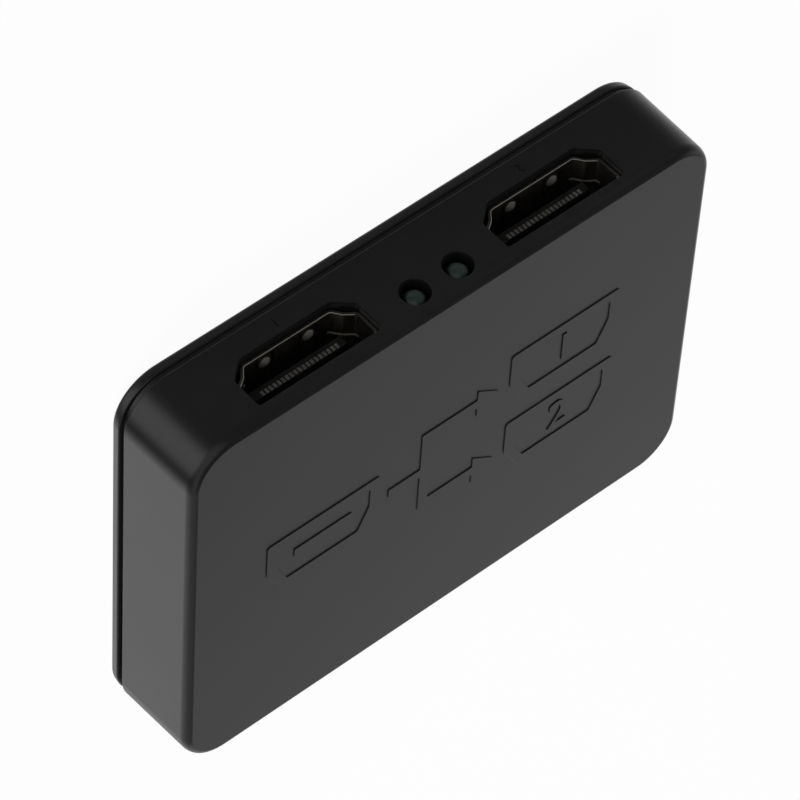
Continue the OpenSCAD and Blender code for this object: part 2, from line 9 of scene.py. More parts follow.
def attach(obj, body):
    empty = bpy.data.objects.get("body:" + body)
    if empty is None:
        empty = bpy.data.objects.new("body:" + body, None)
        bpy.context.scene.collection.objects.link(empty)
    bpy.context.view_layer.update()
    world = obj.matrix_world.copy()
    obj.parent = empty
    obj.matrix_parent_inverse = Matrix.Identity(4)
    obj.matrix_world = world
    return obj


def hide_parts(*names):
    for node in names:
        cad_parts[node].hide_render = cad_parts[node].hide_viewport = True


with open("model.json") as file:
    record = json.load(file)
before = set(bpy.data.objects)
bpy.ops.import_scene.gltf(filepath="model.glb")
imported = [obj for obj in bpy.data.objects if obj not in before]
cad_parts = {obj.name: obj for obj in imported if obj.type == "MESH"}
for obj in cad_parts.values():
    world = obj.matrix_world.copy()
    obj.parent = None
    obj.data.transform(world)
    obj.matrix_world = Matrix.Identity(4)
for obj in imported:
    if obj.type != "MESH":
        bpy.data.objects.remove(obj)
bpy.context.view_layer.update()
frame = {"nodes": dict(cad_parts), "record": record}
nodes = frame["nodes"]
scene = bpy.context.scene

# Sizes in millimetres, as in the part's source. Meshes are made in millimetres and scaled once
MM = 0.001
# Edges sharper than this many degrees keep their crease in the shading
CREASE = 32.0
# Points closer than WELD become one, and heights closer than SAME are one
WELD, SAME = 0.0005, 1e-4
# How far solids that are joined overlap, and how far cutting tools run past a face
SINK, PAST = 0.2, 1.0
# Shell: outline, wall, draft and the two-step round of its top edge
BODY_L, BODY_W, BODY_H = 65.0, 49.0, 11.75
CORNER_R, WALL, CEILING, CEILING_R = 5.2, 1.5, 10.35, 0.45
SLOPE = math.tan(math.radians(1.4))
EDGE_R, RIM_Z, RIM_R, SHELL_SOFT = 0.31, 2.0, 0.16, 0.08
SHOULDER_RUN, SHOULDER_RISE, SHOULDER_R = 0.454, 0.602, 0.43
# Cover: plate, groove, locating lip and snap tabs
COVER_T, COVER_IN_X, COVER_IN_Y, COVER_R, COVER_EDGE, COVER_SOFT = 1.3, 0.02, 0.28, 0.5, 0.2, 0.06
COVER_SLOPE = math.tan(math.radians(9.0))
GROOVE_D, LIP_T, LIP_TOP, FIT_GAP = 0.6, 1.0, 3.05, 0.1
SNAP_W, SNAP_Y, SNAP_TOP, HOOK_H, HOOK_D, HOOK_PEAK = 6.0, 9.5, 6.4, 1.6, 0.55, 0.75
# Circuit board and the posts and pins that hold it
BOARD_Z, BOARD_TOP = 3.25, 4.85
POST_X, POST_Y, POST_D, POST_SINK, PIN_D, PIN_GAP = 26.39, 18.63, 4.0, 0.5, 1.8, 0.12
# Video sockets: places, folded shell, and the cut-outs in the wall. Edges within MOUTH_BAND of the
# front are the mouth's, and faces that look to its middle from over MOUTH_INNER are inner ones
SOCKET_X, SHIFT, RECESS = 15.2, 0.45, 0.9
SOCKET_W, SOCKET_H, NARROW_W, BEVEL_H, BEVEL_BEND = 14.0, 4.55, 10.4, 1.75, 0.2
SHEET, BEND_R, STAMP_R, MOUTH_BAND, MOUTH_INNER = 0.3, 0.2, 0.07, 0.02, 0.3
CUT_GAP, CUT_RISE, CUT_SPREAD, CUT_R, CUT_L, CUT_OUT = 0.1, 1.7, 0.15, 0.25, 4.0, 1.5
# Insulator, contacts, spring bumps and beads, measured from the mouth and from the board
CORE_Y, CORE_END, CORE_GAP = 6.2, 9.9, 0.04
TONGUE_W, TONGUE_T, TONGUE_TIP, TONGUE_Z, TONGUE_ROOT, TONGUE_R = 11.2, 1.2, 2.5, 2.05, 0.6, 0.14
CONTACT_W, CONTACT_T, CONTACT_STEP, CONTACT_PROUD, CONTACT_SOFT = 0.34, 0.2, 0.5, 0.05, 0.04
CONTACT_COUNT, NOSE_LOW, NOSE_HIGH, JOG_Y, TAIL_GAP, FOOT_L = 19, 2.0, 2.57, 3.6, 0.45, 1.6
BUMP_X, BUMP_Y, BUMP_R, BUMP_H, BUMP_SINK = 2.63, 1.4, 0.92, 0.28, 0.05
BEAD_Y, BEAD_W, BEAD_H, BEAD_SINK, BEAD_RUN, BEAD_RISE = 2.8, 0.16, 0.04, 0.1, 0.2, 0.4
# Lamps. The pale cup inside ends at shares of the radius, and past it the lens is painted with the shade
# of its hole
LAMP_D, LAMP_L, LAMP_PITCH, LAMP_Z, LAMP_FIT, LAMP_RECESS = 3.0, 4.8, 5.3, 8.75, 0.07, 0.5
CUP_EDGE, CUP_BLUR = 0.75, 0.35
# Power socket
POWER_X, POWER_W, POWER_H, POWER_SHEET, POWER_STAMP_R = -18.5, 6.9, 1.85, 0.25, 0.08
POWER_NARROW, POWER_RISE, POWER_CUT_R = 1.5, 0.7, 0.4
# Raised sign on the top, and the numerals below the outputs. The bar's two sizes are halves
SIGN_H, SIGN_SINK, SIGN_X, SIGN_Y, SIGN_SOFT = 0.11, 0.1, 0.5, -0.3, 0.03
GLYPH_W, GLYPH_H, STROKE, GLYPH_IN, GLYPH_OUT, GLYPH_STEP = 14.0, 7.8, 1.2, -15.4, 15.0, 5.2
GLYPH_NARROW, GLYPH_RISE, GLYPH_R, LINE_R = 0.7, 0.42, 0.4, 0.15
HOLE_NARROW, HOLE_RISE, HOLE_R = 0.8, 0.4, 0.2
ARROW_START, ARROW_SPLIT, ARROW_END, ARROW_HEAD, ARROW_SPREAD = -7.2, -2.6, 6.6, 2.8, 0.7
BAR_L, BAR_T, BAR_LIFT, DIGIT_SIZE, DIGIT_LIFT = 3.6, 0.6, 0.4, 5.4, 0.1
NUMERAL_SIZE, NUMERAL_T, NUMERAL_Z, NUMERAL_SINK = 1.5, 0.22, 3.4, 0.1


def lean(z):
    """How far a side wall has leaned in at height z."""
    return (z - RIM_Z) * SLOPE


SOCKET_FRONT = BODY_W / 2 - lean(BOARD_TOP + SHEET + SOCKET_H / 2) - RECESS
LAMP_FRONT = BODY_W / 2 - lean(LAMP_Z) - LAMP_RECESS
SNAP_X = BODY_L / 2 - WALL - lean(SNAP_TOP) - FIT_GAP
LIP_INSET = WALL + lean(LIP_TOP) + FIT_GAP


# Materials
def linear(code):
    """An sRGB hex code as a linear colour."""
    parts = [int(code[i:i + 2], 16) / 255 for i in (1, 3, 5)]
    return [p / 12.92 if p <= 0.04045 else ((p + 0.055) / 1.055) ** 2.4 for p in parts] + [1.0]


def every(size):
    """The scale of a pattern whose marks are size millimetres apart."""
    return 1.0 / (size * MM)


def add(tree, kind, sockets=None, **settings):
    """Adds a node. Sockets hold a value or the output that feeds them."""
    node = tree.nodes.new(kind)
    for name, value in settings.items():
        setattr(node, name, value)
    for name, value in (sockets or {}).items():
        if isinstance(value, bpy.types.NodeSocket):
            tree.links.new(value, node.inputs[name])
        else:
            node.inputs[name].default_value = value
    return node


def start_material(name):
    """A new material with its tree, its main shader and the object's own coordinates."""
    made = bpy.data.materials.new(name)
    made.use_nodes = True
    tree = made.node_tree
    return made, tree, tree.nodes["Principled BSDF"], add(tree, "ShaderNodeTexCoord").outputs["Object"]


def finish(tree, shader, colour, rough, height=None, depth=0.0, strength=0.0):
    """Feeds the main shader's colour, roughness and relief. Depth is in millimetres."""
    tree.links.new(colour, shader.inputs["Base Color"])
    tree.links.new(rough, shader.inputs["Roughness"])
    if height:
        relief = add(tree, "ShaderNodeBump", {
            "Height": height, "Strength": strength, "Distance": depth * MM})
        tree.links.new(relief.outputs["Normal"], shader.inputs["Normal"])


def black_abs():
    """ABS moulded in a spark-eroded tool. Black all through, so it is the satin skin that shows:
    fine pits of 0.12 mm soften every reflection, and slow flow clouds change the gloss a little."""
    made, tree, shader, place = start_material("black ABS, satin moulded")
    pits = add(tree, "ShaderNodeTexNoise", {"Vector": place, "Scale": every(0.12), "Detail": 2.0})
    flow = add(tree, "ShaderNodeTexNoise", {"Vector": place, "Scale": every(11.0), "Detail": 3.0})
    tone = add(tree, "ShaderNodeValToRGB", {"Fac": flow.outputs["Fac"]})
    tone.color_ramp.elements[0].color = linear("#1b1b1c")
    tone.color_ramp.elements[1].color = linear("#212122")
    satin = add(tree, "ShaderNodeMapRange", {
        "Value": flow.outputs["Fac"], "To Min": 0.26, "To Max": 0.33})
    finish(tree, shader, tone.outputs["Color"], satin.outputs["Result"],
           pits.outputs["Fac"], depth=0.03, strength=0.08)
    shader.inputs["IOR"].default_value = 1.53
    return made


def nickel_sheet():
    """Rolled sheet steel, folded and then nickel plated. Warm grey, with fine rolling lines 0.06 mm
    apart along the fold and faint cloudy stains 1.5 mm wide from the plating bath."""
    made, tree, shader, place = start_material("sheet steel, nickel plated")
    drawn = add(tree, "ShaderNodeMapping", {"Vector": place, "Scale": (1.0, 0.04, 1.0)})
    lines = add(tree, "ShaderNodeTexNoise", {
        "Vector": drawn.outputs["Vector"], "Scale": every(0.06), "Detail": 2.0})
    stains = add(tree, "ShaderNodeTexNoise", {"Vector": place, "Scale": every(1.5), "Detail": 4.0})
    tone = add(tree, "ShaderNodeValToRGB", {"Fac": stains.outputs["Fac"]})
    tone.color_ramp.elements[0].position, tone.color_ramp.elements[1].position = 0.3, 0.7
    tone.color_ramp.elements[0].color = linear("#928d84")
    tone.color_ramp.elements[1].color = linear("#aaa59b")
    dull = add(tree, "ShaderNodeMapRange", {
        "Value": lines.outputs["Fac"], "To Min": 0.32, "To Max": 0.44})
    finish(tree, shader, tone.outputs["Color"], dull.outputs["Result"],
           lines.outputs["Fac"], depth=0.002, strength=0.05)
    shader.inputs["Metallic"].default_value = 1.0
    return made


def matte_tin():
    """Spring steel with a matte dip of tin on the parts that rub. Pale and dull, with a frosty
    crystal mottle of 0.2 mm."""
    made, tree, shader, place = start_material("spring steel, matte tin dip")
    frost = add(tree, "ShaderNodeTexVoronoi", {"Vector": place, "Scale": every(0.2)})
    tone = add(tree, "ShaderNodeValToRGB", {"Fac": frost.outputs["Distance"]})
    tone.color_ramp.elements[0].color = linear("#827e77")
    tone.color_ramp.elements[1].color = linear("#6c6862")
    dull = add(tree, "ShaderNodeMapRange", {
        "Value": frost.outputs["Distance"], "To Min": 0.42, "To Max": 0.55})
    finish(tree, shader, tone.outputs["Color"], dull.outputs["Result"])
    shader.inputs["Metallic"].default_value = 0.35
    return made


def sheared_steel():
    """The cut edge of the plated sheet. Bare steel, torn by the stamp into a dull grey grain of
    0.05 mm, so it catches light from all round as a thin pale line."""
    made, tree, shader, place = start_material("sheet steel, sheared edge")
    grain = add(tree, "ShaderNodeTexNoise", {"Vector": place, "Scale": every(0.05), "Detail": 2.0})
    tone = add(tree, "ShaderNodeValToRGB", {"Fac": grain.outputs["Fac"]})
    tone.color_ramp.elements[0].color = linear("#7b7770")
    tone.color_ramp.elements[1].color = linear("#a39f96")
    dull = add(tree, "ShaderNodeMapRange", {
        "Value": grain.outputs["Fac"], "To Min": 0.4, "To Max": 0.55})
    finish(tree, shader, tone.outputs["Color"], dull.outputs["Result"])
    shader.inputs["Metallic"].default_value = 0.3
    return made


def glass_filled():
    """Liquid crystal polymer with short glass fibre, moulded black. Dead matt, with paler fibre
    flecks of 0.15 mm in the skin."""
    made, tree, shader, place = start_material("glass-filled polymer, moulded black")
    fibre = add(tree, "ShaderNodeTexNoise", {"Vector": place, "Scale": every(0.15), "Detail": 3.0})
    tone = add(tree, "ShaderNodeValToRGB", {"Fac": fibre.outputs["Fac"]})
    tone.color_ramp.elements[0].position, tone.color_ramp.elements[1].position = 0.45, 0.8
    tone.color_ramp.elements[0].color = linear("#0d0d0d")
    tone.color_ramp.elements[1].color = linear("#1b1b1a")
    dull = add(tree, "ShaderNodeMapRange", {
        "Value": fibre.outputs["Fac"], "To Min": 0.5, "To Max": 0.68})
    finish(tree, shader, tone.outputs["Color"], dull.outputs["Result"],
           fibre.outputs["Fac"], depth=0.01, strength=0.2)
    return made


def flashed_bronze():
    """Phosphor bronze strip, stamped and flashed with a thin pale plate. Dull grey with a trace of
    warmth, and worn lighter in spots of 0.25 mm where plugs have slid."""
    made, tree, shader, place = start_material("phosphor bronze, flash plated")
    wear = add(tree, "ShaderNodeTexNoise", {"Vector": place, "Scale": every(0.25), "Detail": 3.0})
    tone = add(tree, "ShaderNodeValToRGB", {"Fac": wear.outputs["Fac"]})
    tone.color_ramp.elements[0].position, tone.color_ramp.elements[1].position = 0.35, 0.7
    tone.color_ramp.elements[0].color = linear("#928f89")
    tone.color_ramp.elements[1].color = linear("#c4c1b9")
    dull = add(tree, "ShaderNodeMapRange", {
        "Value": wear.outputs["Fac"], "To Min": 0.42, "To Max": 0.26})
    finish(tree, shader, tone.outputs["Color"], dull.outputs["Result"])
    shader.inputs["Metallic"].default_value = 0.9
    return made


def tinted_epoxy():
    """Epoxy cast over a lamp's lead frame and tinted green. The pale cup inside shows through the nose,
    and round it the colour falls to near black, which is painted shade from the hole that the lamp sits
    in. Faint casting swirls of 0.6 mm."""
    made, tree, shader, place = start_material("cast epoxy, tinted green, with painted hole shade")
    swirl = add(tree, "ShaderNodeTexNoise", {"Vector": place, "Scale": every(0.6), "Detail": 3.0})
    nose = add(tree, "ShaderNodeAttribute", attribute_name="nose")
    cup = add(tree, "ShaderNodeMath", {
        0: swirl.outputs["Fac"], 1: 0.35, 2: nose.outputs["Fac"]}, operation="MULTIPLY_ADD")
    tone = add(tree, "ShaderNodeValToRGB", {"Fac": cup.outputs["Value"]})
    tone.color_ramp.elements[0].position, tone.color_ramp.elements[1].position = 0.3, 0.95
    # The dark end is painted shade from the lamp's hole, and the pale end is the cup inside seen through
    # the nose
    tone.color_ramp.elements[0].color = linear("#0a110f")
    tone.color_ramp.elements[1].color = linear("#2a3531")
    clear = add(tree, "ShaderNodeMapRange", {
        "Value": swirl.outputs["Fac"], "To Min": 0.08, "To Max": 0.2})
    finish(tree, shader, tone.outputs["Color"], clear.outputs["Result"])
    shader.inputs["IOR"].default_value = 1.54
    return made


def mottled(name, dark, light, rough, speck, metal=0.0):
    """A finish that shows as two close tones, mottled in specks of the given millimetres."""
    made, tree, shader, place = start_material(name)
    specks = add(tree, "ShaderNodeTexNoise", {"Vector": place, "Scale": every(speck), "Detail": 3.0})
    tone = add(tree, "ShaderNodeValToRGB", {"Fac": specks.outputs["Fac"]})
    tone.color_ramp.elements[0].color = linear(dark)
    tone.color_ramp.elements[1].color = linear(light)
    satin = add(tree, "ShaderNodeMapRange", {
        "Value": specks.outputs["Fac"], "To Min": rough * 0.85, "To Max": rough * 1.15})
    finish(tree, shader, tone.outputs["Color"], satin.outputs["Result"],
           specks.outputs["Fac"], depth=0.01, strength=0.15)
    shader.inputs["Metallic"].default_value = metal
    return made


FINISHES = {
    "black_abs": black_abs(),
    "plated_steel": nickel_sheet(),
    "black_insulator": glass_filled(),
    "gold_plate": flashed_bronze(),
    "green_epoxy": tinted_epoxy(),
    # Solder mask printed on woven glass: a wet green gloss with the weave's 0.8 mm mottle under it
    "green_board": mottled("epoxy glass board, green solder mask", "#06200f", "#0a2c16", 0.4, 0.8),
    # Tin from a hot bath: bright, with soft wrinkles 0.3 mm wide
    "tinned_wire": mottled("copper, hot tinned", "#b5b5b2", "#cfcfcb", 0.32, 0.3, 1.0),
    # Transfer-moulded epoxy: charcoal, dull and faintly grainy
    "black_epoxy": mottled("moulded epoxy, dull black", "#161617", "#1e1e1f", 0.5, 0.1),
    # A deep-drawn can: silver with a soft cloudy gloss
    "bright_can": mottled("aluminium, deep drawn", "#b9b9b8", "#d0d0ce", 0.25, 0.5, 1.0),
    # Pressed and fired iron oxide: dark grey with a powdery grain
    "ferrite": mottled("ferrite, pressed and fired", "#2c2c2f", "#38383b", 0.55, 0.15),
    # Fired ceramic: sandy tan, finely speckled
    "tan_ceramic": mottled("ceramic, fired tan", "#8a6a48", "#a17d57", 0.45, 0.1),
}
TIN_DIP, SHEARED = matte_tin(), sheared_steel()
for row in frame["record"]["subparts"]:
    nodes[row["node"]].data.materials.clear()
    nodes[row["node"]].data.materials.append(FINISHES[row["material_slot"]])


# Shapes
def mesh_object(name, bm):
    """A new object that holds the bmesh, which it frees."""
    mesh = bpy.data.meshes.new(name)
    bm.to_mesh(mesh)
    bm.free()
    made = bpy.data.objects.new(name, mesh)
    scene.collection.objects.link(made)
    return made


def discard(*objects):
    """Removes working objects with their data."""
    for used in objects:
        data = used.data
        bpy.data.objects.remove(used)
        if isinstance(data, bpy.types.Mesh):
            bpy.data.meshes.remove(data)
        else:
            bpy.data.curves.remove(data)


def solid(made):
    """The finished mesh of an object, as a new bmesh."""
    done = made.evaluated_get(bpy.context.evaluated_depsgraph_get())
    bm = bmesh.new()
    bm.from_mesh(done.to_mesh())
    done.to_mesh_clear()
    return bm


def carve(bm, tool, way="DIFFERENCE"):
    """Cuts the tool out of a solid, joins it on or keeps what they share, and frees both."""
    work, cutter = mesh_object("work", bm), mesh_object("cutter", tool)
    cut = work.modifiers.new("cut", "BOOLEAN")
    cut.object, cut.operation, cut.solver = cutter, way, "EXACT"
    result = solid(work)
    discard(work, cutter)
    return result


def gather(shapes):
    """Several separate shapes in one bmesh."""
    bm = bmesh.new()
    for shape in shapes:
        mesh = bpy.data.meshes.new("shape")
        shape.to_mesh(mesh)
        shape.free()
        bm.from_mesh(mesh)
        bpy.data.meshes.remove(mesh)
    return bm


def move(bm, x=0.0, y=0.0, z=0.0, turn=0.0):
    """Turns a shape about the vertical by a share of a full turn, then shifts it."""
    spun = Matrix.Rotation(turn * math.tau, 3, "Z")
    bmesh.ops.rotate(bm, cent=(0, 0, 0), matrix=spun, verts=bm.verts)
    bmesh.ops.translate(bm, vec=(x, y, z), verts=bm.verts)
    return bm


def bevel(bm, geom, width, segments, affect="EDGES"):
    """Rounds edges or corners by a width in millimetres."""
    return bmesh.ops.bevel(
        bm, geom=geom, offset=width, offset_type="OFFSET", segments=segments, profile=0.5,
        affect=affect, clamp_overlap=False, material=-1)


def soften(bm, width, segments=2, angle=35.0):
    """Rounds the sharp edges that moulding or folding leaves."""
    bmesh.ops.remove_doubles(bm, verts=bm.verts, dist=WELD)
    sharp = [
        e for e in bm.edges if len(e.link_faces) == 2 and e.calc_face_angle() > math.radians(angle)]
    bevel(bm, sharp, width, segments)
    return bm


def upright(bm):
    """Stands a shape that lies face up so that it faces the output side."""
    bmesh.ops.rotate(bm, cent=(0, 0, 0), matrix=Matrix.Rotation(math.pi / 2, 3, "X"), verts=bm.verts)
    return bm


def piece(name, bm, slot, *replaced, material=None, edges=None):
    """Ends a shape: metres, smooth faces with sharp edges kept, finish, and the body it rides on.
    Edges is the finish of the faces that have the second material."""
    bmesh.ops.scale(bm, vec=(MM, MM, MM), verts=bm.verts)
    for face in bm.faces:
        face.smooth = True
    made = mesh_object(name, bm)
    made.data.set_sharp_from_angle(angle=math.radians(CREASE))
    made.data.materials.append(material or FINISHES[slot])
    if edges:
        made.data.materials.append(edges)
    even = made.modifiers.new("even shading", "WEIGHTED_NORMAL")
    even.keep_sharp = True
    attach(made, "root")
    if replaced:
        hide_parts(*replaced)


def pull(bm, faces, way):
    """Extrudes faces into a solid along way."""
    made = bmesh.ops.extrude_face_region(bm, geom=faces)["geom"]
    verts = [g for g in made if isinstance(g, bmesh.types.BMVert)]
    bmesh.ops.translate(bm, vec=way, verts=verts)
    bmesh.ops.recalc_face_normals(bm, faces=bm.faces)
    return bm


def drawn(points, way, corner=0.0, steps=4):
    """A solid pulled along way from a drawn outline, with its corners rounded."""
    bm = bmesh.new()
    bm.faces.new([bm.verts.new(p) for p in points])
    if corner:
        bevel(bm, bm.verts[:], corner, steps, "VERTICES")
    return pull(bm, bm.faces[:], way)


def rod(radius, low, high, x=0.0, y=0.0, segments=40):
    """An upright round bar."""
    bm = bmesh.new()
    bmesh.ops.create_cone(
        bm, cap_ends=True, segments=segments, radius1=radius, radius2=radius, depth=high - low)
    return move(bm, x, y, (low + high) / 2)


def brick(low, high):
    """A box between two corners."""
    bm = bmesh.new()
    low, high = Vector(low), Vector(high)
    bmesh.ops.create_cube(bm, size=1.0)
    bmesh.ops.scale(bm, vec=high - low, verts=bm.verts)
    return move(bm, *((low + high) / 2))


def plan_face(bm, inset, steps=20):
    """The housing's outline, smaller by inset all round."""
    bmesh.ops.create_grid(bm, x_segments=1, y_segments=1, size=0.5)
    bmesh.ops.scale(bm, vec=(BODY_L - 2 * inset, BODY_W - 2 * inset, 1), verts=bm.verts)
    bevel(bm, bm.verts[:], CORNER_R - inset, steps, "VERTICES")
    return bm.faces[:]


def plate(inset, low, high):
    """An upright block of the housing's outline."""
    bm = bmesh.new()
    pull(bm, plan_face(bm, inset), (0, 0, high - low))
    return move(bm, z=low)


def moulded_block(inset, low, high, edge, slope, foot=0.0, shoulder=None):
    """A block of the housing's outline with leaning walls, a rounded top edge and a rounded foot.
    A shoulder's run, rise and round make the top edge leave the wall slowly and end tighter."""
    bm = bmesh.new()
    top = plan_face(bm, inset)
    run, rise, blend = shoulder or (0.0, 0.0, 0.0)
    wall = high - low - rise
    bmesh.ops.inset_region(
        bm, faces=top, thickness=wall * slope, depth=wall, use_even_offset=True, use_boundary=True)
    if shoulder:
        bmesh.ops.inset_region(
            bm, faces=top, thickness=run, depth=rise, use_even_offset=True, use_boundary=True)
    bmesh.ops.holes_fill(bm, edges=[e for e in bm.edges if e.is_boundary], sides=0)
    levels = {0.0: (foot, 5), wall: (blend, 8), wall + rise: (edge, 8)}
    for height, (width, steps) in levels.items():
        if width:
            ring = [e for e in bm.edges if all(abs(v.co.z - height) < SAME for v in e.verts)]
            bevel(bm, ring, width, steps)
    bmesh.ops.recalc_face_normals(bm, faces=bm.faces)
    return move(bm, z=low)


def d_points(width, height, narrow, rise, bend=0.0, low=0.0):
    """The corners of a socket's D in X and Z, narrow side down."""
    half, side = narrow / 2, width / 2
    right = [(half, 0), (side, rise), (side, height)]
    if bend:
        inward = Vector((-rise, side - half)).normalized() * bend
        right.insert(1, ((half + side) / 2 + inward.x, rise / 2 + inward.y))
    return [(x, 0, low + z) for x, z in right + [(-x, z) for x, z in reversed(right)]]


def cut_d(width, height, narrow, rise, corner):
    """The tool that cuts a socket's place out of the output wall, at the middle of it."""
    corners = d_points(width, height, narrow, rise, low=BOARD_TOP - CUT_GAP)
    return move(drawn(corners, (0, CUT_L, 0), corner, 5), y=-BODY_W / 2 - CUT_OUT)


def socket_tool():
    """The tool for a video socket. Its slanted corners are plain and a little wider than the shell's."""
    gap = SHEET + CUT_GAP
    bevel_w = (SOCKET_W - NARROW_W) / 2 + CUT_SPREAD
    width = SOCKET_W + 2 * gap
    return cut_d(width, SOCKET_H + 2 * gap, width - 2 * bevel_w, CUT_RISE, CUT_R)


def power_tool():
    """The tool for the power socket."""
    gap = POWER_SHEET + CUT_GAP
    narrow, rise = POWER_W - POWER_NARROW + gap, POWER_RISE + gap / 2
    return cut_d(POWER_W + 2 * gap, POWER_H + 2 * gap, narrow, rise, POWER_CUT_R)


def lamp_tool(x):
    """The tool for a lamp's hole."""
    tool = rod(LAMP_D / 2 + LAMP_FIT, -CUT_L / 2, CUT_L / 2, segments=48)
    return move(upright(tool), x, CUT_L / 2 - CUT_OUT - BODY_W / 2, LAMP_Z)


POSTS = [(sx * POST_X, sy * POST_Y) for sx in (-1, 1) for sy in (-1, 1)]
SNAPS = [(turn, sy * SNAP_Y) for turn in (0.0, 0.5) for sy in (-1, 1)]
OUTPUTS = {1: SHIFT + SOCKET_X, 2: SHIFT - SOCKET_X}
LAMPS = {1: SHIFT + LAMP_PITCH / 2, 2: SHIFT - LAMP_PITCH / 2}


def top_shell():
    """The upper half: a drafted box with its cut-outs, board posts and snap pockets."""
    shoulder = SHOULDER_RUN, SHOULDER_RISE, SHOULDER_R
    shell = moulded_block(0.0, RIM_Z, BODY_H, EDGE_R, SLOPE, RIM_R, shoulder)
    shell = carve(shell, moulded_block(WALL, RIM_Z - PAST, CEILING, CEILING_R, SLOPE))
    bars = (POST_D / 2, BOARD_TOP, CEILING + POST_SINK), (PIN_D / 2, RIM_Z + SINK, CEILING)
    for radius, low, high in bars:
        shell = carve(shell, gather(rod(radius, low, high, x, y) for x, y in POSTS), "UNION")
    side = SNAP_W / 2 + 2 * FIT_GAP
    low, high = SNAP_TOP - HOOK_H - 2 * FIT_GAP, SNAP_TOP + FIT_GAP
    pocket = (-FIT_GAP, -side, low), (HOOK_D + FIT_GAP, side, high)
    shell = carve(shell, gather(
        move(move(brick(*pocket), SNAP_X, y), turn=turn) for turn, y in SNAPS))
    shell = carve(shell, gather([
        *(move(socket_tool(), x) for x in OUTPUTS.values()), *(lamp_tool(x) for x in LAMPS.values()),
        move(socket_tool(), turn=0.5), move(move(power_tool(), -POWER_X), turn=0.5)]))
    return soften(shell, SHELL_SOFT)


def bottom_cover():
    """The lower half: a plate with soft edges, the groove's wall, the lip, snap tabs and posts."""
    cover = moulded_block(0.0, 0.0, COVER_T, COVER_R, COVER_SLOPE, COVER_EDGE)
    shrink = 1 - 2 * COVER_IN_X / BODY_L, 1 - 2 * COVER_IN_Y / BODY_W, -1
    bmesh.ops.scale(cover, vec=shrink, verts=cover.verts)
    bmesh.ops.recalc_face_normals(cover, faces=cover.faces)
    move(cover, z=COVER_T)
    ring, lip = plate(GROOVE_D, COVER_T - SINK, RIM_Z), plate(LIP_INSET, RIM_Z - SINK, LIP_TOP)
    ring = carve(carve(ring, lip, "UNION"), plate(LIP_INSET + LIP_T, 0.0, LIP_TOP + PAST))
    cover = carve(cover, ring, "UNION")
    tab = [(-LIP_T, COVER_T - SINK), (0, COVER_T - SINK), (0, SNAP_TOP - HOOK_H),
           (HOOK_D, SNAP_TOP - HOOK_PEAK * HOOK_H), (0, SNAP_TOP), (-LIP_T, SNAP_TOP)]
    outline = [(x, -SNAP_W / 2, z) for x, z in tab]
    cover = carve(cover, gather(
        move(move(drawn(outline, (0, SNAP_W, 0)), SNAP_X, y), turn=turn) for turn, y in SNAPS), "UNION")
    cover = carve(cover, gather(
        rod(POST_D / 2, COVER_T - SINK, BOARD_Z, x, y) for x, y in POSTS), "UNION")
    cover = carve(cover, gather(
        rod(PIN_D / 2 + PIN_GAP, COVER_T + SINK, BOARD_Z + PAST, x, y) for x, y in POSTS))
    return soften(cover, COVER_SOFT)


piece("top_shell_moulding", top_shell(), "black_abs", "top_shell")
piece("bottom_cover_moulding", bottom_cover(), "black_abs", "bottom_cover")


# Raised signs, moulded with the shell
def numeral(sign, size, height):
    """A plain numeral, lying flat and centred, with its face up."""
    curve = bpy.data.curves.new("numeral", "FONT")
    curve.body, curve.size, curve.extrude = sign, size, height / 2
    curve.align_x, curve.align_y = "CENTER", "CENTER"
    made = bpy.data.objects.new("numeral", curve)
    scene.collection.objects.link(made)
    bm = solid(made)
    discard(made)
    bmesh.ops.remove_doubles(bm, verts=bm.verts, dist=2 * WELD)
    return move(bm, z=height / 2)


def socket_glyph(width, height, stroke):
    """A socket's mouth as a flat ring."""
    tall = SIGN_H + SIGN_SINK
    narrow, rise = width * GLYPH_NARROW, height * GLYPH_RISE
    corners = d_points(width, height, narrow, rise, low=-height / 2)
    ring = drawn([(x, z, 0) for x, y, z in corners], (0, 0, tall), GLYPH_R)
    trim = 2 * stroke
    corners = d_points(
        width - trim, height - trim, narrow - HOLE_NARROW * stroke, rise - HOLE_RISE * stroke,
        low=stroke - height / 2)
    hole = drawn([(x, z, -tall) for x, y, z in corners], (0, 0, 3 * tall), HOLE_R)
    return carve(ring, hole)


def branch_arrow(start, split, end, reach, stroke, head):
    """One line that splits into two arrows."""
    half, barb = stroke / 2, head * ARROW_SPREAD
    upper = [
        (start, half), (split - half, half), (split - half, reach + half), (end - head, reach + half),
        (end - head, reach + barb), (end, reach), (end - head, reach - barb),
        (end - head, reach - half), (split + half, reach - half)]
    outline = upper + [(u, -v) for u, v in reversed(upper)]
    return drawn([(u, v, 0) for u, v in outline], (0, 0, SIGN_H + SIGN_SINK), LINE_R, 3)


def top_sign():
    """A raised diagram of what the box does: one socket in, two sockets out."""
    tall = SIGN_H + SIGN_SINK
    parts = [
        move(socket_glyph(GLYPH_W, GLYPH_H, STROKE), GLYPH_IN),
        branch_arrow(ARROW_START, ARROW_SPLIT, ARROW_END, GLYPH_STEP, STROKE, ARROW_HEAD)]
    bar = [(u * BAR_L, v * BAR_T + BAR_LIFT, 0) for u, v in ((-1, -1), (1, -1), (1, 1), (-1, 1))]
    parts.append(move(drawn(bar, (0, 0, tall), LINE_R), GLYPH_IN))
    rows = ("1", GLYPH_STEP), ("2", -GLYPH_STEP)
    parts += [move(socket_glyph(GLYPH_W, GLYPH_H, STROKE), GLYPH_OUT, v) for digit, v in rows]
    digits = [move(numeral(digit, DIGIT_SIZE, tall), GLYPH_OUT, v + DIGIT_LIFT) for digit, v in rows]
    sign = gather([soften(gather(parts), SIGN_SOFT, segments=1, angle=60.0), *digits])
    return move(sign, SIGN_X, SIGN_Y, BODY_H - SIGN_SINK, turn=0.5)


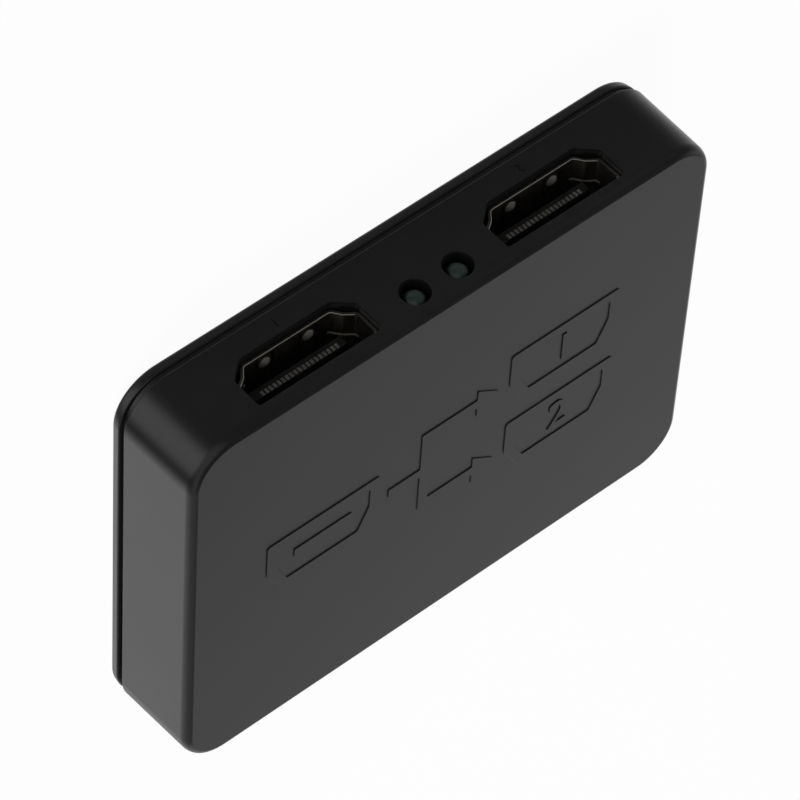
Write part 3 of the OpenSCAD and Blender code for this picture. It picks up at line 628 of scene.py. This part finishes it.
def output_numerals():
    """The number of each output, raised below its socket."""
    face = -BODY_W / 2 + lean(NUMERAL_Z)
    return gather(
        move(upright(numeral(str(number), NUMERAL_SIZE, NUMERAL_T)), x, face + NUMERAL_SINK, NUMERAL_Z)
        for number, x in OUTPUTS.items())


piece("raised_sign", top_sign(), "black_abs")
piece("raised_output_numerals", output_numerals(), "black_abs")


# Sockets and lamps
def folded(node, width, middle):
    """A copy of a stamped and folded part. The stamp breaks the inner edge of its mouth, apart from
    the side walls, and those narrow faces take the second finish. Middle is the mouth's own height."""
    bm = bmesh.new()
    bm.from_mesh(nodes[node].data)
    bmesh.ops.scale(bm, vec=(1 / MM, 1 / MM, 1 / MM), verts=bm.verts)
    bmesh.ops.remove_doubles(bm, verts=bm.verts, dist=2 * WELD)
    bmesh.ops.dissolve_limit(
        bm, angle_limit=math.radians(0.5), verts=bm.verts, edges=bm.edges, use_dissolve_boundaries=False)
    mouth = max(abs(v.co.y) for v in bm.verts) - MOUTH_BAND
    rim = set()
    for face in bm.faces:
        if face.normal.z * (middle - face.calc_center_median().z) > MOUTH_INNER:
            rim.update(e for e in face.edges if min(abs(v.co.y) for v in e.verts) > mouth)
    rim = [e for e in bm.edges if e in rim]
    for face in bevel(bm, rim, width, 3)["faces"]:
        face.material_index = 1
    return bm


def mouth_block(gap, start, depth):
    """A block of a socket's inner outline, smaller by gap all round."""
    corners = d_points(
        SOCKET_W - 2 * gap, SOCKET_H - 2 * gap, NARROW_W - 2 * gap, BEVEL_H, BEVEL_BEND, SHEET + gap)
    return move(drawn(corners, (0, depth, 0), BEND_R, 3), y=start)


def corner_beads():
    """The shallow bead that is pressed across each slanted corner, behind the mouth."""
    beads = carve(
        mouth_block(-BEAD_SINK, BEAD_Y, BEAD_W), mouth_block(BEAD_H, BEAD_Y - BEAD_W, 3 * BEAD_W))
    near, far, top = NARROW_W / 2 - BEAD_RUN, SOCKET_W / 2 + SHEET, SHEET + BEVEL_H + BEAD_RISE
    sides = (-far, -near), (near, far)
    beads = carve(beads, gather(
        brick((start, 0, 0), (end, CORE_Y, top)) for start, end in sides), "INTERSECT")
    for face in beads.faces:
        face.material_index = 1
    return beads


def insulator():
    """The moulded block that closes the socket, with the tongue that carries the contacts."""
    block = mouth_block(CORE_GAP, CORE_Y, CORE_END - CORE_Y)
    tongue = brick(
        (-TONGUE_W / 2, TONGUE_TIP, TONGUE_Z - TONGUE_T / 2),
        (TONGUE_W / 2, CORE_Y + TONGUE_ROOT, TONGUE_Z + TONGUE_T / 2))
    tip = [e for e in tongue.edges if max(v.co.y for v in e.verts) < TONGUE_TIP + 0.01]
    bevel(tongue, tip, TONGUE_R, 3)
    return carve(block, tongue, "UNION")


def contact(way):
    """A stamped strip: a nose at the tongue's tip, a run inside the tongue, a jog out to its face, and
    then down behind the insulator and out along the board. It comes out on the upper face where way
    is 1, and on the lower one for -1."""
    thick, front, back = CONTACT_T, TONGUE_TIP - CONTACT_PROUD, CORE_END + TAIL_GAP
    face = TONGUE_Z + way * (TONGUE_T / 2 + CONTACT_PROUD)
    low, high = sorted((face, face - way * thick))
    core_low = (NOSE_LOW + NOSE_HIGH - thick) / 2
    under, over = (JOG_Y + thick, JOG_Y) if way > 0 else (JOG_Y, JOG_Y + thick)
    strip = [
        (front, NOSE_LOW), (front + thick, NOSE_LOW), (front + thick, core_low), (under, core_low),
        (under, low), (back, low), (back, 0), (back + FOOT_L, 0), (back + FOOT_L, thick),
        (back + thick, thick), (back + thick, high), (over, high), (over, core_low + thick),
        (front + thick, core_low + thick), (front + thick, NOSE_HIGH), (front, NOSE_HIGH)]
    return drawn([(-CONTACT_W / 2, y, z) for y, z in strip], (CONTACT_W, 0, 0))


def contact_row():
    """All contacts of a socket, by turns on the upper and the lower face of the tongue."""
    middle = (CONTACT_COUNT - 1) / 2
    row = gather(
        move(contact(-1 if i % 2 else 1), (i - middle) * CONTACT_STEP) for i in range(CONTACT_COUNT))
    return soften(row, CONTACT_SOFT)


def spring_bumps():
    """The round bumps that press on a plug, two on the narrow side and two on the wide side."""
    parts = []
    for x in (-BUMP_X, BUMP_X):
        for turn in (0.0, math.pi):
            bm = bmesh.new()
            bmesh.ops.create_uvsphere(bm, u_segments=28, v_segments=20, radius=BUMP_R)
            bmesh.ops.bisect_plane(
                bm, geom=bm.verts[:] + bm.edges[:] + bm.faces[:], plane_no=(0, 0, 1), clear_inner=True,
                plane_co=(0, 0, BUMP_R - BUMP_H - BUMP_SINK))
            bmesh.ops.holes_fill(bm, edges=[e for e in bm.edges if e.is_boundary], sides=0)
            bmesh.ops.translate(bm, vec=(0, 0, BUMP_H - BUMP_R - SOCKET_H / 2), verts=bm.verts)
            bmesh.ops.rotate(bm, cent=(0, 0, 0), matrix=Matrix.Rotation(turn, 3, "Y"), verts=bm.verts)
            parts.append(move(bm, x, BUMP_Y, SHEET + SOCKET_H / 2))
    return gather(parts)


def lens():
    """A lamp's lens along Y with its round nose at the origin. The nose attribute is 1 in front of the
    cup inside and falls to 0 at the side, where the lens gets painted shade from its hole."""
    bm = bmesh.new()
    radius, steps = LAMP_D / 2, 14
    arc = [math.pi / 2 * i / steps for i in range(steps + 1)]
    profile = [(radius * math.sin(a), radius * (1 - math.cos(a))) for a in arc]
    profile += [(radius, LAMP_L), (0, LAMP_L)]
    verts = [bm.verts.new((r, y, 0)) for r, y in profile]
    edges = [bm.edges.new(pair) for pair in zip(verts, verts[1:])]
    bmesh.ops.spin(
        bm, geom=verts + edges, cent=(0, 0, 0), axis=(0, 1, 0), angle=math.tau, steps=48, use_merge=True)
    bmesh.ops.remove_doubles(bm, verts=bm.verts, dist=WELD)
    bmesh.ops.recalc_face_normals(bm, faces=bm.faces)
    nose = bm.verts.layers.float.new("nose")
    for vert in bm.verts:
        away = math.hypot(vert.co.x, vert.co.z) / radius
        vert[nose] = min(1.0, max(0.0, (CUP_EDGE - away) / CUP_BLUR)) if vert.co.y < radius else 0.0
    return bm


PLACES = {
    "output_1": (OUTPUTS[1], -SOCKET_FRONT, BOARD_TOP, 0.0),
    "output_2": (OUTPUTS[2], -SOCKET_FRONT, BOARD_TOP, 0.0),
    "input": (0.0, SOCKET_FRONT, BOARD_TOP, 0.5),
}
for name, place in PLACES.items():
    shell = folded(name + "_shell", STAMP_R, BOARD_TOP + SHEET + SOCKET_H / 2)
    shell = gather([shell, move(corner_beads(), *place)])
    piece(name + "_folded_shell", shell, "plated_steel", name + "_shell", edges=SHEARED)
    piece(name + "_insulator", move(insulator(), *place), "black_insulator", name + "_core")
    piece(name + "_contact_strips", move(contact_row(), *place), "gold_plate", name + "_contacts")
    piece(name + "_spring_bumps", move(spring_bumps(), *place), "plated_steel", material=TIN_DIP)
shell = folded("power_shell", POWER_STAMP_R, BOARD_TOP + POWER_SHEET + POWER_H / 2)
piece("power_folded_shell", shell, "plated_steel", "power_shell", edges=SHEARED)
for number, x in LAMPS.items():
    name = "lamp_" + str(number)
    piece(name + "_cast_lens", move(lens(), x, -LAMP_FRONT, LAMP_Z), "green_epoxy", name + "_lens")

# Camera at the photograph's viewpoint, from its three axes and its place in millimetres
view = bpy.data.cameras.new("camera")
view.lens, view.sensor_width = 244.3, 36.0
camera = bpy.data.objects.new("camera", view)
right = Vector((-0.7564642, -0.0442410, 0.6525370))
down = Vector((0.4889112, 0.6244552, 0.6091154))
ahead = Vector((-0.4344280, 0.7798067, -0.4507481))
camera.matrix_world = Matrix.Translation(Vector((228.5625, -411.9344, 241.6869)) * MM) @ Matrix(
    (right, -down, -ahead)).transposed().to_4x4()
scene.collection.objects.link(camera)
scene.camera = camera


# Stage. How much of the paper that the camera sees is plain white, and half the floor's side in metres
PAPER_WHITE, FLOOR_HALF = 0.955, 30.0


def white_paper():
    """A white paper sweep. The camera sees it white, with a share of its own shading so that the
    shadow stays. Gloss passes on to the studio, which has the paper's white wall in it."""
    made, tree, shader, _ = start_material("white paper sweep")
    shader.inputs["Base Color"].default_value = linear("#f4f4f4")
    shader.inputs["Roughness"].default_value = 0.9
    ray = add(tree, "ShaderNodeLightPath")
    seen = add(tree, "ShaderNodeMath", {
        0: ray.outputs["Is Camera Ray"], 1: ray.outputs["Is Transmission Ray"]}, operation="MAXIMUM")
    share = add(tree, "ShaderNodeMath", {
        0: seen.outputs["Value"], 1: PAPER_WHITE}, operation="MULTIPLY")
    glow = add(tree, "ShaderNodeEmission", {"Strength": 1.0})
    paper = add(tree, "ShaderNodeMixShader", {
        "Fac": share.outputs["Value"], 1: shader.outputs["BSDF"], 2: glow.outputs["Emission"]})
    clear = add(tree, "ShaderNodeBsdfTransparent")
    mixed = add(tree, "ShaderNodeMixShader", {
        "Fac": ray.outputs["Is Glossy Ray"], 1: paper.outputs["Shader"], 2: clear.outputs["BSDF"]})
    tree.links.new(mixed.outputs["Shader"], tree.nodes["Material Output"].inputs["Surface"])
    return made


ground = bmesh.new()
bmesh.ops.create_grid(ground, x_segments=1, y_segments=1, size=FLOOR_HALF)
floor = mesh_object("floor", ground)
floor.data.materials.append(white_paper())


# The way to the window, how fast it fades and its strength
WINDOW, WINDOW_FADE, WINDOW_LEVEL = (-0.70, 0.55, -0.45), 4.0, 0.8
# White cards round the object: the way to each, the cosines at its edge and middle, and its strength
CARDS = [
    ((0.826, -0.334, -0.454), 0.80, 0.97, 1.0), ((0.66, -0.62, 0.42), 0.5, 1.0, 0.42),
    ((-0.86, 0.20, 0.47), 0.88, 1.0, 0.35), ((0.78, 0.33, 0.53), 0.86, 1.0, 0.35),
]


def studio():
    """The room that gloss shows. The white wall behind is brightest low down and to the right, and it
    dims with height. A window is low on the left, white cards stand round the object, the sweep below
    is pale, and the rest is dim. The camera and clear parts see plain white."""
    world = bpy.data.worlds.new("studio")
    world.use_nodes = True
    tree = world.node_tree
    way = add(tree, "ShaderNodeTexCoord").outputs["Generated"]
    axis = add(tree, "ShaderNodeSeparateXYZ", {"Vector": way}).outputs
    # The wall: lower and upper part, each with its run of light along the room's axes
    right = add(tree, "ShaderNodeMapRange", {
        "Value": axis["X"], "From Min": -0.25, "From Max": 0.25, "To Max": 0.88},
        interpolation_type="SMOOTHSTEP")
    lower = add(tree, "ShaderNodeMapRange", {
        "Value": axis["Y"], "From Min": 0.40, "From Max": 0.70, "To Max": right.outputs["Result"]},
        interpolation_type="SMOOTHSTEP")
    height = add(tree, "ShaderNodeMapRange", {
        "Value": axis["Z"], "From Min": 0.36, "From Max": 0.50, "To Min": 0.66, "To Max": 0.06})
    across = add(tree, "ShaderNodeMapRange", {
        "Value": axis["X"], "From Min": -0.05, "From Max": 0.35, "To Min": height.outputs["Result"],
        "To Max": 0.24}, interpolation_type="SMOOTHSTEP")
    upper = add(tree, "ShaderNodeMapRange", {
        "Value": axis["Y"], "From Min": 0.60, "From Max": 0.76, "To Max": across.outputs["Result"]},
        interpolation_type="SMOOTHSTEP")
    wall = add(tree, "ShaderNodeMapRange", {
        "Value": axis["Z"], "From Min": -0.45, "From Max": 0.16, "To Min": lower.outputs["Result"],
        "To Max": upper.outputs["Result"]})
    leftward = add(tree, "ShaderNodeVectorMath", {
        0: way, 1: Vector(WINDOW)}, operation="DOT_PRODUCT")
    left = add(tree, "ShaderNodeMath", {0: leftward.outputs["Value"], 1: 0.0}, operation="MAXIMUM")
    window = add(tree, "ShaderNodeMath", {
        0: left.outputs["Value"], 1: WINDOW_FADE}, operation="POWER")
    sweep = add(tree, "ShaderNodeMapRange", {
        "Value": axis["Z"], "From Min": -0.45, "From Max": -0.90, "To Max": 0.18},
        interpolation_type="SMOOTHSTEP")
    dim = add(tree, "ShaderNodeMapRange", {
        "Value": axis["Z"], "From Min": 0.70, "From Max": 0.92, "To Min": 0.025, "To Max": 0.01},
        interpolation_type="SMOOTHSTEP")
    around = add(tree, "ShaderNodeMath", {
        0: window.outputs["Value"], 1: WINDOW_LEVEL}, operation="MULTIPLY")
    for place, edge, middle, level in CARDS:
        facing = add(tree, "ShaderNodeVectorMath", {0: way, 1: Vector(place)}, operation="DOT_PRODUCT")
        card = add(tree, "ShaderNodeMapRange", {
            "Value": facing.outputs["Value"], "From Min": edge, "From Max": middle, "To Max": level},
            interpolation_type="SMOOTHSTEP")
        around = add(tree, "ShaderNodeMath", {
            0: around.outputs["Value"], 1: card.outputs["Result"]}, operation="ADD")
    for part in (wall, sweep, dim):
        around = add(tree, "ShaderNodeMath", {
            0: around.outputs["Value"], 1: part.outputs["Result"]}, operation="ADD")
    room = tree.nodes["Background"]
    room.inputs["Color"].default_value = linear("#ffffff")
    tree.links.new(around.outputs["Value"], room.inputs["Strength"])
    white = add(tree, "ShaderNodeBackground", {"Color": linear("#ffffff"), "Strength": 1.0})
    ray = add(tree, "ShaderNodeLightPath")
    seen = add(tree, "ShaderNodeMath", {
        0: ray.outputs["Is Camera Ray"], 1: ray.outputs["Is Transmission Ray"]}, operation="MAXIMUM")
    mixed = add(tree, "ShaderNodeMixShader", {
        "Fac": seen.outputs["Value"], 1: room.outputs["Background"], 2: white.outputs["Background"]})
    tree.links.new(mixed.outputs["Shader"], tree.nodes["World Output"].inputs["Surface"])
    scene.world = world


studio()


def softbox(name, place, size, power):
    """A square lamp that looks at the object. It lights surfaces and doesn't show in their gloss,
    which the studio gives."""
    lamp = bpy.data.lights.new(name, "AREA")
    lamp.shape, lamp.size, lamp.energy = "SQUARE", size, power
    made = bpy.data.objects.new(name, lamp)
    made.location = place
    made.rotation_euler = (-Vector(place)).to_track_quat("-Z", "Y").to_euler()
    made.visible_glossy = False
    scene.collection.objects.link(made)


# Places and sizes in metres, powers in watts
softbox("key", (0.45, 0.55, 0.9), 0.6, 9.0)
softbox("fill", (-0.45, -0.62, 0.15), 0.25, 2.5)

scene.view_settings.view_transform = "Standard"
